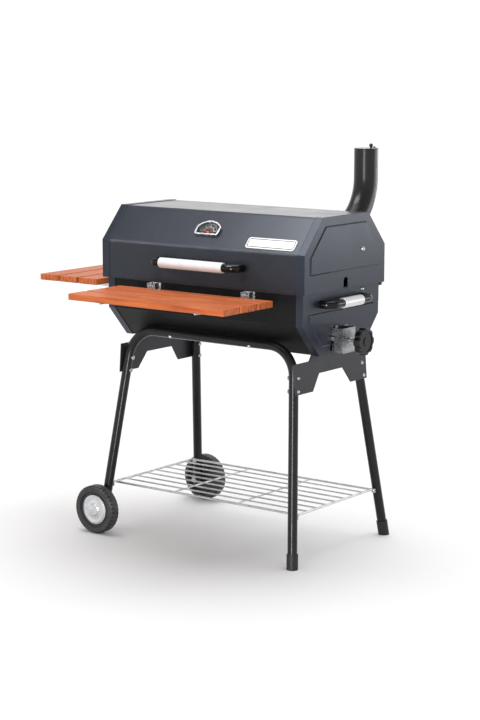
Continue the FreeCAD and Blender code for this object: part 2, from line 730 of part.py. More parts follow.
pad(badge, face, "dims.sheet * 1.6")

# ---------------------------------------------------------------- hinges

HY, HZ, HX = size("hinge_y"), size("hinge_z"), size("hinge_x")
KNUCKLE = size("knuckle_d")
LEAF_HALF, MID_HALF = 12.0, 4.0


def knuckle(x0, x1, bore):
    barrel = rod((x0, HY, HZ), (x1, HY, HZ), KNUCKLE)
    return barrel.cut(rod((x0 - 1, HY, HZ), (x1 + 1, HY, HZ), bore))


lid_leaves, bowl_leaves, pins = [], [], []
for side in (-1, 1):
    cx = side * HX
    lid_y, bowl_y = size("lid_half_depth") + 0.05, size("bowl_half_depth") + 0.05
    leaf = block((cx - LEAF_HALF, lid_y, HZ + 8), (cx + LEAF_HALF, lid_y + 2, HZ + 48))
    web = block((cx - MID_HALF, lid_y, HZ + 3), (cx + MID_HALF, HY + 3.5, HZ + 10))
    web = web.cut(rod((cx - 20, HY, HZ), (cx + 20, HY, HZ), KNUCKLE - 1))
    barrel = knuckle(cx - MID_HALF, cx + MID_HALF, size("pin_d") + 2 * size("running"))
    lid_leaves.append(leaf.fuse([web, barrel]).removeSplitter())
    leaf = block((cx - LEAF_HALF, bowl_y, HZ - 50), (cx + LEAF_HALF, bowl_y + 2, HZ))
    pieces = []
    for low, high in ((-LEAF_HALF, -MID_HALF - 0.3), (MID_HALF + 0.3, LEAF_HALF)):
        web = block((cx + low, bowl_y, HZ - 4.5), (cx + high, HY - 3.5, HZ))
        pieces += [web, knuckle(cx + low, cx + high, size("pin_d") + 0.04)]
    bowl_leaves.append(leaf.fuse(pieces).removeSplitter())
    ends = Vector(LEAF_HALF + 1, 0, 0)
    middle = Vector(cx, HY, HZ)
    pin = rod(middle - ends, middle + ends, size("pin_d"))
    for turn in (-1, 1):
        pin = pin.fuse(dome_head(middle + ends * turn, X * turn, 9, 2.5))
    pins.append(pin)
solid("hinge_leaves_lid", Part.makeCompound(lid_leaves))
solid("hinge_leaves_bowl", Part.makeCompound(bowl_leaves))
solid("hinge_pins", Part.makeCompound(pins))

# ---------------------------------------------------------------- chimney

PIPE_R = size("pipe_d") / 2
foot = on_slope(size("chimney_x"), CHIMNEY_ALONG, 0.1, front=False)
normal = foot.Rotation.multVec(Z)
bend = foot.Base + normal * ((size("chimney_y") - foot.Base.y) / normal.y)
top = Vector(bend.x, bend.y, size("chimney_top"))
pipe = swept_tube([foot.Base, bend, top], size("chimney_bend"), size("pipe_d"),
                  size("pipe_wall"))
PIVOT = Vector(bend.x, bend.y + PIPE_R + 7, size("chimney_top"))
ear = block((PIVOT.x - 7, PIVOT.y - 8, PIVOT.z - 5), (PIVOT.x + 7, PIVOT.y, PIVOT.z - 2))
ear = ear.fuse(rod(PIVOT - Z * 5, PIVOT - Z * 2, 14))
ear = ear.fuse(rod(PIVOT - Z * 5, PIVOT + Z * 2.4, 6))
ear = ear.fuse(dome_head(PIVOT + Z * 2.2, Z, 10, 3))
hollow = Part.makeCylinder(PIPE_R - 0.5, 60, top - Z * 50)
solid("chimney_pipe", pipe.fuse(ear.cut(hollow)).removeSplitter())

collar = Part.makeCylinder(47, 2).cut(Part.makeCylinder(PIPE_R + 0.05, 6, Vector(0, 0, -2)))
for step in range(4):
    angle = math.radians(45 + 90 * step)
    spot = Vector(41.8 * math.cos(angle), 41.8 * math.sin(angle), 2)
    collar = collar.cut(rod(spot - Z * 5, spot + Z * 5, 4.1))
    lid_screws.append(moved(screw(spot + Z * 0.02, Z, 4, 1.9, 7, 2), foot))
solid("chimney_flange", collar, at(0, 0, 0) * foot)
solid("lid_screws", Part.makeCompound(lid_screws))

cover = Part.makeCylinder(PIPE_R + 1, SHEET, top + Z * 0.3)
tab = block((PIVOT.x - 7, PIVOT.y - 12, top.z + 0.3), (PIVOT.x + 7, PIVOT.y, top.z + 0.3 + SHEET))
tab = tab.fuse(Part.makeCylinder(7, SHEET, PIVOT + Z * 0.3))
cover = cover.fuse(tab).cut(rod(PIVOT - Z * 5, PIVOT + Z * 9, 6.1)).removeSplitter()
solid("damper_cover", cover)
knob_seat = top + Vector(17, 0, 0.3 + SHEET + 0.02)
knob = Part.makeCylinder(3, 6, knob_seat).fuse(Part.makeSphere(6, knob_seat + Z * 8.5))
solid("damper_knob", knob.removeSplitter())

# ---------------------------------------------------------------- charcoal tray lift

FACE_X = size("bowl_half_length") + size("emboss_rise")
SHAFT = Vector(0, size("shaft_y"), size("shaft_z"))
RACK_X = (FACE_X + 2, FACE_X + 8)
TRAVEL = size("tray_travel")
BRACKET_X = FACE_X + 41

bracket = new_body("lift_bracket")
bend_line = [(FACE_X + 0.05, 26), (FACE_X + 0.05, 6), (BRACKET_X - SHEET, 6),
             (BRACKET_X - SHEET, -55), (FACE_X + 0.3, -55)]
profile = new_sketch(bracket, "bracket_profile", "XY_Plane",
                     Placement(Vector(0, 0, 614), Rotation()))
add_polygon(profile, strip(bend_line, SHEET))
pad(bracket, profile, "dims.wheel_knob_d * 0.92")
bearing = new_sketch(bracket, "bearing_hole", "YZ_Plane",
                     Placement(Vector(0, 0, BRACKET_X - SHEET / 2), Rotation()))
shaft_hole(bearing)
pocket(bracket, bearing, "dims.sheet * 4", Midplane=True)
notch = new_sketch(bracket, "finger_notch", "XZ_Plane",
                   Placement(Vector(0, 0, 55 + SHEET / 2), Rotation()))
add_polygon(notch, [(FACE_X - 2, 612), (FACE_X + 9.5, 612), (FACE_X + 9.5, 665), (FACE_X - 2, 665)])
pocket(bracket, notch, "dims.sheet * 4", Midplane=True)
bowl_screws += [screw((FACE_X + SHEET + 0.1, 20, z), X, 4, 4.4, 8, 3) for z in (648, 676)]

PITCH = math.pi * size("pitch_r") / 6
PITCH_Y = SHAFT.y - size("pitch_r")
TOOTH = PITCH * 0.42


def toothed_bar():
    """Upright rack; each tooth is a tapered ridge facing the pinion."""
    low, high = SHAFT.z - 11, SHAFT.z + TRAVEL + 11
    bar = block((RACK_X[0], PITCH_Y - 9, low), (RACK_X[1], PITCH_Y - 2.5, high))
    teeth = []
    count = int((high - low) / PITCH)
    for index in range(count):
        z = SHAFT.z + PITCH * (index - 1.5)
        if z - 3 < low or z + 3 > high:
            continue
        outline = [(PITCH_Y - 3, z - 2.0), (PITCH_Y + 2, z - 0.5), (PITCH_Y + 2, z + 0.5),
                   (PITCH_Y - 3, z + 2.0), (PITCH_Y - 3, z - 2.0)]
        wire = Part.makePolygon([Vector(RACK_X[0], y, height) for y, height in outline])
        teeth.append(Part.Face(wire).extrude(X * (RACK_X[1] - RACK_X[0])))
    return bar.multiFuse(teeth)


FINGER_Z = 655.0
TRAY_X, TRAY_Z = size("tray_half_x"), size("tray_z")
slide = toothed_bar().multiFuse([
    block((RACK_X[0], SLOT_Y - 5, FINGER_Z - 5), (RACK_X[1], PITCH_Y - 8, FINGER_Z + 5)),
    rod((TRAY_X + 2, SLOT_Y, FINGER_Z), (RACK_X[1], SLOT_Y, FINGER_Z), 10),
    block((TRAY_X + 0.1, SLOT_Y - 6, TRAY_Z - 3.1), (TRAY_X + 5, SLOT_Y + 6, FINGER_Z + 5)),
    block((-TRAY_X + 60, SLOT_Y - 6, TRAY_Z - 3.1), (TRAY_X + 5, SLOT_Y + 6, TRAY_Z - 0.1)),
])
solid("lift_slide", slide.removeSplitter())

tray = new_body("charcoal_tray")
face = new_sketch(tray, "tray_plan", "XY_Plane", Placement(Vector(0, 0, TRAY_Z), Rotation()))
TRAY_Y = size("tray_half_y")
add_polygon(face, [(-TRAY_X, -TRAY_Y), (TRAY_X, -TRAY_Y), (TRAY_X, TRAY_Y), (-TRAY_X, TRAY_Y)])
pad(tray, face, "dims.tray_depth")
well = new_sketch(tray, "tray_well", "XY_Plane",
                  Placement(Vector(0, 0, TRAY_Z + size("tray_depth")), Rotation()))
add_polygon(well, [(SHEET - TRAY_X, SHEET - TRAY_Y), (TRAY_X - SHEET, SHEET - TRAY_Y),
                   (TRAY_X - SHEET, TRAY_Y - SHEET), (SHEET - TRAY_X, TRAY_Y - SHEET)])
pocket(tray, well, "dims.tray_depth - dims.sheet")
slots = new_sketch(tray, "tray_slots", "XY_Plane", Placement(Vector(0, 0, TRAY_Z), Rotation()))
for column in range(-5, 6):
    for row in (-1, 0, 1):
        add_slot(slots, column * 56, row * 58, 18, 4)
pocket(tray, slots, "dims.sheet * 3", Midplane=True)

shaft = rod((BRACKET_X - 47, SHAFT.y, SHAFT.z), (BRACKET_X + 41, SHAFT.y, SHAFT.z),
            size("shaft_d"))
pinion = Part.makeCylinder(9.2, RACK_X[1] - RACK_X[0])
teeth = []
for index in range(12):
    outline = [Vector(8, -1.7, 0), Vector(12, -1.3, 0), Vector(13.9, -0.5, 0),
               Vector(13.9, 0.5, 0), Vector(12, 1.3, 0), Vector(8, 1.7, 0), Vector(8, -1.7, 0)]
    tooth = Part.Face(Part.makePolygon(outline)).extrude(Z * (RACK_X[1] - RACK_X[0]))
    tooth.rotate(Vector(), Z, 30 * index)
    teeth.append(tooth)
pinion = pinion.multiFuse(teeth)
pinion.Placement = Placement(Vector(RACK_X[0], SHAFT.y, SHAFT.z),
                             Rotation(Y, 90) * Rotation(Z, 90))
thrust = rod((BRACKET_X + 0.3, SHAFT.y, SHAFT.z), (BRACKET_X + 4, SHAFT.y, SHAFT.z), 16)
solid("handwheel_shaft", shaft.multiFuse([pinion, thrust]).removeSplitter())

grip_r = size("wheel_knob_d") / 2
knob_x = BRACKET_X + 38
disc = Part.makeCylinder(grip_r, 22)
disc = disc.fuse(Part.makeCylinder(15, 10, Vector(0, 0, -9)))
for index in range(8):
    angle = math.radians(45 * index + 22.5)
    centre = Vector(46.5 * math.cos(angle), 46.5 * math.sin(angle), -1)
    disc = disc.cut(Part.makeCylinder(10.5, 24, centre))
disc = disc.removeSplitter()
rims = [edge for edge in disc.Edges
        if all(abs(vertex.Point.z - 22) < 0.01 or abs(vertex.Point.z) < 0.01
               for vertex in edge.Vertexes) and edge.BoundBox.ZLength < 0.01
        and edge.BoundBox.Center.Length > 23]
disc = disc.makeFillet(2.5, rims)
dish = Part.makeCylinder(30, 3, Vector(0, 0, 20)).cut(Part.makeCylinder(13, 3, Vector(0, 0, 20)))
disc = disc.cut(dish)
disc = disc.cut(Part.makeCylinder(size("shaft_d") / 2 + 0.02, 13.05, Vector(0, 0, -10)))
solid("handwheel", moved(disc, Placement(Vector(knob_x, SHAFT.y, SHAFT.z), Rotation(Y, 90))))

# ---------------------------------------------------------------- air vent on the left end

vent = new_body("air_vent_disc", Placement(CENTRE, Rotation(Z, 180)))
face = new_sketch(vent, "vent_plan", "YZ_Plane",
                  Placement(Vector(0, 0, FACE_X + 0.3), Rotation()))
add_circle(face, 0, VENT_Z, VENT_R)
vent_holes(face)
pad(vent, face, "dims.sheet")
lug = new_sketch(vent, "vent_lug", "YZ_Plane", Placement(Vector(0, 0, FACE_X + 0.3), Rotation()))
lug_low = VENT_Z + VENT_R - 8
add_polygon(lug, [(-4, lug_low), (4, lug_low), (4, lug_low + 5), (-4, lug_low + 5)])
pad(vent, lug, "dims.sheet * 8")
vent_rivet = rod((-FACE_X + 4, 0, VENT_Z), (-FACE_X - 2.2, 0, VENT_Z), 6)
vent_rivet = vent_rivet.fuse(dome_head((-FACE_X - 2.1, 0, VENT_Z), -X, 12, 3))
solid("air_vent_rivet", vent_rivet.removeSplitter())

# ---------------------------------------------------------------- grates and their ledges

wall_in = size("bowl_half_depth") - STEP - SHEET
ledge_top = size("grate_z") - 3.6
ledges = []
for side in (-1, 1):
    outer = side * (wall_in - 0.05)
    inner, face_y = side * (wall_in - 19), side * (wall_in - 1.55)
    flat = block((-350, min(outer, inner), ledge_top - SHEET), (350, max(outer, inner), ledge_top))
    low, high = sorted((outer, face_y))
    ledges.append(flat.fuse(block((-350, low, ledge_top - 18), (350, high, ledge_top))))
solid("grate_ledges", Part.makeCompound([ledge.removeSplitter() for ledge in ledges]))

for name, side in (("left", -1), ("right", 1)):
    bars = wire_grid(size("grate_len") / 2 - 3.5, size("grate_half_y") - 3.5, 0, 7, 5, 3, ())
    span = size("grate_len") - 7
    count = int(size("grate_rods"))
    for index in range(1, count):
        x = -span / 2 + span * index / count
        bars.append(rod((x, 3.5 - size("grate_half_y"), 1), (x, size("grate_half_y") - 3.5, 1), 5))
    middle = side * (size("grate_len") / 2 + 4)
    solid(f"grate_{name}", bars[0].multiFuse(bars[1:]), at(middle, 0, size("grate_z")))

# ---------------------------------------------------------------- warming rack and its legs

RY, RZ, LY, LZ = size("rack_y"), size("rack_z"), size("leg_y"), size("leg_z")
TIP_Y, TIP_Z = LY + RY - HY, LZ + RZ - HZ
BAR_X, LEG_X = 350.5, 358.0
rack_parts, leg_parts, lid_pivots, bowl_pivots = [], [], [], []
for side in (-1, 1):
    x0, x1 = sorted((side * BAR_X, side * (BAR_X + 3)))
    bar = block((x0, TIP_Y - 118, RZ - 9), (x1, RY + 14, RZ + 7))
    bar = bar.cut(rod((x0 - 1, RY, RZ), (x1 + 1, RY, RZ), PIVOT_D + 2 * size("running")))
    bar = bar.cut(rod((x0 - 1, TIP_Y, TIP_Z), (x1 + 1, TIP_Y, TIP_Z), 9.2))
    rack_parts.append(bar)
    x0, x1 = sorted((side * LEG_X, side * (LEG_X + 3)))
    length = math.hypot(TIP_Y - LY, TIP_Z - LZ)
    strap = block((x0, -7, 0), (x1, 7, length))
    strap = strap.fuse([rod((x0, 0, 0), (x1, 0, 0), 14), rod((x0, 0, length), (x1, 0, length), 14)])
    strap = strap.cut(rod((x0 - 1, 0, 0), (x1 + 1, 0, 0), PIVOT_D + 2 * size("running")))
    stub_in = side * (BAR_X - 1)
    strap = strap.fuse(rod((stub_in, 0, length), (side * LEG_X, 0, length), 6))
    tilt = math.degrees(math.atan2(LY - TIP_Y, TIP_Z - LZ))
    strap.Placement = Placement(Vector(0, LY, LZ), Rotation(X, tilt))
    leg_parts.append(strap.removeSplitter())
    lid_face = size("lid_half_length") + size("emboss_rise")
    pivot = screw((side * (lid_face + 0.05), RY, RZ), X * side, PIVOT_D, lid_face - BAR_X + 4, 15, 6)
    cap = rod((side * (BAR_X - 0.3), RY, RZ), (side * (BAR_X - 4), RY, RZ), 13)
    collar = rod((side * (BAR_X + 3.3), RY, RZ), (side * (lid_face - 1.6), RY, RZ), 12)
    lid_pivots.append(pivot.multiFuse([cap, collar]).removeSplitter())
    bowl_face = size("bowl_half_length")
    pivot = screw((side * (bowl_face + 0.05), LY, LZ), X * side, PIVOT_D, bowl_face - LEG_X + 4, 13, 5)
    cap = rod((side * (LEG_X - 0.3), LY, LZ), (side * (LEG_X - 4), LY, LZ), 12)
    collar = rod((side * (LEG_X + 3.3), LY, LZ), (side * (bowl_face - 1.6), LY, LZ), 12)
    bowl_pivots.append(pivot.multiFuse([cap, collar]).removeSplitter())
for index in range(9):
    y = TIP_Y - 112 + index * (RY - 12 - TIP_Y + 112) / 8
    rack_parts.append(rod((-BAR_X - 1, y, RZ - 1), (BAR_X + 1, y, RZ - 1), 5))
rack_parts.append(rod((0, TIP_Y - 112, RZ - 4), (0, RY - 12, RZ - 4), 5))
solid("warming_rack", rack_parts[0].multiFuse(rack_parts[1:]))
solid("warming_rack_legs", Part.makeCompound(leg_parts))
solid("rack_bolts_lid", Part.makeCompound(lid_pivots))
solid("rack_bolts_bowl", Part.makeCompound(bowl_pivots))

# ---------------------------------------------------------------- hook-on wooden shelves

PEG_Z, PEG_R = 785.0, 3.0
SLAT, GAP, THICK = size("slat_width"), size("slat_gap"), size("slat_thick")


def shelf(label, half, wall, peg, inner, top_z, hook_half, turn):
    """Three slats on two hooked arms, with the pegs that hold them on the bowl.

    Drawn facing -Y: wall, peg and inner are distances out from the barrel's centre.
    """
    place = Placement(CENTRE, turn)
    under = top_z - THICK
    outer = inner + 3 * SLAT + 2 * GAP
    slats, screws, spots = [], [], []
    for index in range(3):
        near = -(inner + index * (SLAT + GAP))
        slat = block((-half, near - SLAT, under), (half, near, top_z))
        slat = slat.makeFillet(2, slat.Edges)
        for x in (-hook_half + 5.4, hook_half + 5.4):
            spot = Vector(x, near - SLAT / 2, under)
            spots.append(spot)
            slat = slat.cut(rod(spot - Z, spot + Z * 14, 4.1))
            screws.append(screw(spot - Z * 2.12, -Z, 4, 15, 6.4, 1.8))
        slats.append(slat)
    outline = [
        (outer - 12, under - 0.1), (outer - 12, under - 6), (inner + 20, under - 14),
        (wall + 2.8, under - 30), (wall + 2.8, under - 20.5), (peg + 3.4, under - 20.5),
        (peg + 3.4, PEG_Z), (peg + 2.5, PEG_Z + 2.5), (peg, PEG_Z + 3.3),
        (peg - 2.5, PEG_Z + 2.5), (peg - 3.4, PEG_Z), (peg - 3.4, PEG_Z - 7),
        (peg - 5.9, PEG_Z - 7), (peg - 5.9, PEG_Z + 5), (peg - 3, PEG_Z + 8),
        (peg + 4, PEG_Z + 8), (peg + 6.2, PEG_Z + 5), (peg + 6.2, under - 0.1),
    ]
    arms, hooks = [], []
    for x in (-hook_half, hook_half):
        corners = [Vector(x - 1.5, -out, z) for out, z in outline]
        arm = Part.Face(Part.makePolygon(corners + corners[:1])).extrude(X * 3)
        flange = block((x - 9, -(outer - 12), under - 2.1), (x + 9, -(inner + 8), under - 0.1))
        arm = arm.fuse(flange).removeSplitter()
        for spot in spots:
            arm = arm.cut(rod(spot - Z * 3, spot + Z, 4.1))
        arms.append(arm)
        back = block((x - 18, -wall - 2.05, 768), (x + 18, -wall - 0.05, 794))
        ears = [block((x + low, -peg - 5, 776), (x + low + 2, -wall - 1, 794))
                for low in (-15, 13)]
        peg_rod = rod((x - 15, -peg, PEG_Z), (x + 15, -peg, PEG_Z), 2 * PEG_R)
        rivets = [dome_head((x + low, -wall - 2.05, 772), -Y, 6, 2) for low in (-9, 9)]
        hooks.append(back.multiFuse(ears + [peg_rod] + rivets).removeSplitter())
    solid(f"{label}_slats", Part.makeCompound(slats), place)
    solid(f"{label}_arms", Part.makeCompound(arms), place)
    solid(f"{label}_screws", Part.makeCompound(screws), place)
    solid(f"{label}_pegs", Part.makeCompound(hooks), place)


inner_front = -size("front_shelf_y") - 3 * SLAT - 2 * GAP
inner_side = -size("side_shelf_x") - 3 * SLAT - 2 * GAP
shelf("front_shelf", size("front_shelf_half"), size("bowl_half_depth") - STEP,
      SHELL_HALF_DEPTH + 9.1, inner_front, size("front_shelf_z"), 177, Rotation())
shelf("side_shelf", size("side_shelf_half"), size("bowl_half_length"),
      size("lid_half_length") + 8, inner_side, size("side_shelf_z"), 140, Rotation(Z, -90))

# ---------------------------------------------------------------- bowl to stand screws

for end in (-1, 1):
    for x in (-BOWL_SCREW_X, BOWL_SCREW_X):
        bar, outward = bar_screw(x, end)
        bowl_screws.append(screw(bar + outward * (TUBE_R - 0.4), outward, 6, TUBE_D + 4, 12, 4))
solid("bowl_screws", Part.makeCompound(bowl_screws))

# ---------------------------------------------------------------- check and write

doc.recompute()
for obj in doc.Objects:
    if "Invalid" in obj.State or "Error" in obj.State:
        raise RuntimeError(f"{obj.Name} did not build: {obj.State}")
for piece in NODES:
    if piece.Shape.isNull() or not piece.Shape.isValid():
        raise RuntimeError(f"{piece.Label} has no valid shape")
labels = [piece.Label for piece in NODES]
if len(set(labels)) != len(labels):
    raise RuntimeError("two pieces share a label")

os.makedirs("parts", exist_ok=True)
for piece in NODES:
    piece.Shape.exportStep(os.path.join("parts", f"{piece.Label}.step"))
box = Part.makeCompound([piece.Shape for piece in NODES]).BoundBox
print(f"{len(NODES)} pieces, {box}")
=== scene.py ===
import bpy
import json
import math
from mathutils import Matrix, Vector


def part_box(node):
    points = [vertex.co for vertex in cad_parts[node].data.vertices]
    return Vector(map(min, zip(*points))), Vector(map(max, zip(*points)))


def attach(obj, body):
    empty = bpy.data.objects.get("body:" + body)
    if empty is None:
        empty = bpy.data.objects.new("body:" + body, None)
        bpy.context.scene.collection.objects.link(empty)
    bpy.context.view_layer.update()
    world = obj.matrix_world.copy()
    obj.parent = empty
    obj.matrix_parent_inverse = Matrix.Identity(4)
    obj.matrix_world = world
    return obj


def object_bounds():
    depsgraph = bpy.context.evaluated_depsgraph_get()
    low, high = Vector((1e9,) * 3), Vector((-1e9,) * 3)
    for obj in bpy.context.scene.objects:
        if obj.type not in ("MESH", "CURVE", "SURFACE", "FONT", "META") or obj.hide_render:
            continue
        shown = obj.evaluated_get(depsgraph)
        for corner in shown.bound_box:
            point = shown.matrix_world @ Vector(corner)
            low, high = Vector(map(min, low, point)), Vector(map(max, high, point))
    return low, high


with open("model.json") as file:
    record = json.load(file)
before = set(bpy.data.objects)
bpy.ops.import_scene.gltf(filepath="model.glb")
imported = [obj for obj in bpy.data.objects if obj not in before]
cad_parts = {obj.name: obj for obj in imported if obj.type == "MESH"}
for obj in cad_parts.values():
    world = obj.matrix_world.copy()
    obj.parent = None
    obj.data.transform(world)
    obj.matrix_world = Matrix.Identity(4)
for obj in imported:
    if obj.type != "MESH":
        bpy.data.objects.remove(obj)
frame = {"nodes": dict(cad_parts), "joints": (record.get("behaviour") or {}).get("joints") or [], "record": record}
cad_low, cad_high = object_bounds()
middle = (cad_low + cad_high) / 2
nodes = frame["nodes"]
scene = bpy.context.scene
scene.view_settings.view_transform = "Standard"


# ---------------------------------------------------------------- node helpers

class Look:
    """A material and short ways to wire its nodes."""

    def __init__(self, name, **sockets):
        self.mat = bpy.data.materials.new(name)
        self.mat.use_nodes = True
        self.tree = self.mat.node_tree
        self.bsdf = self.tree.nodes["Principled BSDF"]
        for key, value in sockets.items():
            self.bsdf.inputs[key.replace("_", " ")].default_value = value

    def node(self, kind, inputs=(), **props):
        made = self.tree.nodes.new("ShaderNode" + kind)
        for key, value in props.items():
            setattr(made, key, value)
        for key, value in dict(inputs).items():
            self.put(made.inputs[key], value)
        return made

    def put(self, socket, value):
        if isinstance(value, bpy.types.NodeSocket):
            self.tree.links.new(value, socket)
        else:
            socket.default_value = value

    def place(self, scale=(1, 1, 1), move=(0, 0, 0)):
        coords = self.node("TexCoord").outputs["Object"]
        return self.node("Mapping", {"Vector": coords, "Scale": scale, "Location": move}).outputs[0]

    def noise(self, scale, detail=3, where=None, warp=0.0, rough=0.55):
        vector = self.place() if where is None else where
        made = self.node("TexNoise", {"Vector": vector, "Scale": scale, "Detail": detail,
                                      "Distortion": warp, "Roughness": rough})
        return made.outputs["Fac"]

    def math(self, how, a, b=0.5, c=0.5, clamp=False):
        return self.node("Math", {0: a, 1: b, 2: c}, operation=how, use_clamp=clamp).outputs[0]

    def fit(self, value, low, high, to_low=0.0, to_high=1.0):
        return self.node("MapRange", {0: value, 1: low, 2: high, 3: to_low, 4: to_high}).outputs[0]

    def ramp(self, value, *stops):
        made = self.node("ValToRGB", {0: value})
        bar = made.color_ramp.elements
        while len(bar) < len(stops):
            bar.new(0.5)
        for element, (spot, colour) in zip(bar, stops):
            element.position = spot
            element.color = (*colour, 1)
        return made.outputs[0]

    def mix(self, share, a, b):
        made = self.node("Mix", data_type="RGBA")
        for socket, value in ((made.inputs[0], share), (made.inputs[6], a), (made.inputs[7], b)):
            self.put(socket, (*value, 1) if isinstance(value, tuple) else value)
        return made.outputs[2]

    def bump(self, height, strength, depth, under=None):
        inputs = {"Height": height, "Strength": strength, "Distance": depth}
        if under is not None:
            inputs["Normal"] = under
        return self.node("Bump", inputs).outputs[0]

    def edges(self, radius, low=0.02, high=0.2):
        """1 on outside and inside corners, 0 on flats, broken up by noise."""
        soft = self.node("Bevel", {"Radius": radius}, samples=4).outputs[0]
        hard = self.node("NewGeometry").outputs["Normal"]
        dot = self.node("VectorMath", {0: soft, 1: hard}, operation="DOT_PRODUCT").outputs["Value"]
        rim = self.fit(self.math("SUBTRACT", 1.0, dot), low, high)
        return self.math("MULTIPLY", rim, self.fit(self.noise(45, 4), 0.42, 0.6))

    def soft_corners(self, radius):
        """Shading normal with every corner slightly rounded, as bent and painted sheet is."""
        return self.node("Bevel", {"Radius": radius}, samples=6).outputs[0]

    def up(self, low=0.75, high=1.0):
        """1 on faces that look up."""
        normal = self.node("NewGeometry").outputs["Normal"]
        return self.fit(self.node("SeparateXYZ", {0: normal}).outputs[2], low, high)

    def finish(self, colour=None, rough=None, normal=None):
        for key, value in (("Base Color", colour), ("Roughness", rough), ("Normal", normal)):
            if value is not None:
                self.put(self.bsdf.inputs[key], value)
        return self.mat


def paint(name, dark, light, rough=(0.4, 0.5), peel=0.15, wear=(0.16, 0.16, 0.17), dust=0.08,
          corner=0.0025, **sockets):
    """Sprayed or baked paint: cloudy colour, orange peel, dust on top and rubbed corners."""
    look = Look(name, **sockets)
    cloud = look.noise(5, 5, warp=0.4)
    grit = look.noise(420, 2)
    colour = look.ramp(cloud, (0.35, dark), (0.65, light))
    speck = look.fit(look.noise(700, 1), 0.62, 0.75)
    colour = look.mix(look.math("MULTIPLY", speck, 0.2), colour, wear)
    film = look.math("MULTIPLY", look.up(), look.fit(look.noise(16, 4), 0.3, 0.75, 0.2, 1.0))
    colour = look.mix(look.math("MULTIPLY", film, dust), colour, (0.42, 0.4, 0.37))
    rubbed = look.edges(0.0016)
    colour = look.mix(look.math("MULTIPLY", rubbed, 0.4), colour, wear)
    smear = look.noise(9, 3, look.place((1, 1, 0.5)), 0.2)
    roughness = look.math("ADD", look.fit(smear, 0.3, 0.7, *rough), look.math("MULTIPLY", film, 0.06))
    normal = look.bump(grit, peel, 0.0004, look.soft_corners(corner))
    normal = look.bump(look.noise(60, 2), peel * 0.2, 0.001, normal)
    return look.finish(colour, roughness, normal)


def metal(name, dark, light, rough, grain=(1, 1, 1), lines=0.0, spangle=0.0, Metallic=1.0, **sockets):
    """Bare or plated metal: cloudy shine, fine scratches along one axis, and painted shade that greys the corners.
    """
    look = Look(name, Metallic=Metallic, **sockets)
    cloud = look.noise(30, 4, warp=0.5)
    colour = look.ramp(cloud, (0.3, dark), (0.68, light))
    roughness = look.fit(look.noise(75, 5, warp=0.3), 0.3, 0.72, *rough)
    if spangle:
        cells = look.node("TexVoronoi", {"Vector": look.place(), "Scale": 170.0}).outputs["Color"]
        tone = look.node("SeparateXYZ", {0: cells}).outputs[0]
        colour = look.mix(look.math("MULTIPLY", tone, spangle), colour, dark)
        roughness = look.math("ADD", roughness, look.fit(tone, 0, 1, -0.05, 0.06))
    # Painted shade: corners and creases are mixed toward grey.
    corner_shade = look.edges(0.002, 0.05, 0.4)
    colour = look.mix(look.math("MULTIPLY", corner_shade, 0.3), colour, (0.2, 0.2, 0.2))
    hair = look.noise(900 if lines else 260, 2, look.place(grain))
    normal = look.bump(hair, 0.06 + lines, 0.0002, look.soft_corners(0.0008))
    return look.finish(colour, roughness, normal)


def plastic(name, dark, light, rough, grain=0.2, dust=0.12, **sockets):
    """Moulded plastic: fine spark-eroded grain, scuffs and a little dust."""
    look = Look(name, **sockets)
    colour = look.ramp(look.noise(40, 5, warp=0.6), (0.32, dark), (0.7, light))
    scuff = look.fit(look.noise(130, 5, look.place((1, 1, 2.5)), 1.2), 0.56, 0.72)
    colour = look.mix(look.math("MULTIPLY", scuff, dust), colour, (0.36, 0.35, 0.33))
    roughness = look.fit(look.noise(85, 4), 0.3, 0.7, *rough)
    normal = look.bump(look.noise(1100, 1), grain, 0.0003)
    normal = look.bump(look.edges(0.0012), 0.2, 0.0003, normal)
    return look.finish(colour, roughness, normal)


def wood(name, along, start, pitch):
    """Stained softwood slats: each has its own tone and grain, with end grain, oil sheen, edge wear and a painted
    highlight on the edges.
    """
    look = Look(name, Specular_IOR_Level=0.16)
    split = look.node("SeparateXYZ", {0: look.place()}).outputs
    across = 1 - along
    slat = look.math("FLOOR", look.math("DIVIDE", look.math("SUBTRACT", split[across], start), pitch))
    toss = look.node("TexWhiteNoise", {"W": slat}, noise_dimensions="1D").outputs[0]
    parts = [look.math("MULTIPLY", split[along], 0.11), split[across], split[2]]
    if along == 1:
        parts[0], parts[1] = parts[1], parts[0]
    moved = [look.math("ADD", part, look.math("MULTIPLY", toss, 3.1 + 2 * i))
             for i, part in enumerate(parts)]
    grain_at = look.node("CombineXYZ", dict(enumerate(moved))).outputs[0]
    rings = look.node("TexWave", {"Vector": grain_at, "Scale": 22.0, "Distortion": 5.0, "Detail": 3.0,
                                  "Detail Scale": 1.4, "Detail Roughness": 0.6},
                      wave_type="BANDS", bands_direction="XY"[across]).outputs["Fac"]
    fibre = look.noise(420, 3, grain_at)
    streak = look.noise(70, 5, grain_at, 0.4)
    colour = look.ramp(rings, (0.1, (0.36, 0.086, 0.024)), (0.62, (0.3, 0.066, 0.019)),
                       (0.95, (0.2, 0.041, 0.013)))
    colour = look.mix(look.fit(streak, 0.4, 0.7, 0, 0.45), colour, (0.6, 0.19, 0.058))
    colour = look.mix(look.fit(fibre, 0.52, 0.75, 0, 0.4), colour, (0.26, 0.055, 0.015))
    colour = look.mix(look.fit(toss, 0, 1, 0.0, 0.25), colour, (0.38, 0.09, 0.024))
    # Edges lightened toward bright orange: partly wear, partly a painted highlight on the rounded slat edges.
    wear_and_highlight = look.edges(0.0022, 0.03, 0.3)
    colour = look.mix(look.math("MULTIPLY", wear_and_highlight, 0.8), colour, (0.9, 0.4, 0.16))
    roughness = look.fit(streak, 0.3, 0.7, 0.38, 0.56)
    normal = look.bump(fibre, 0.2, 0.0005, look.soft_corners(0.003))
    normal = look.bump(rings, 0.12, 0.0006, normal)
    return look.finish(colour, roughness, normal)


# ---------------------------------------------------------------- materials

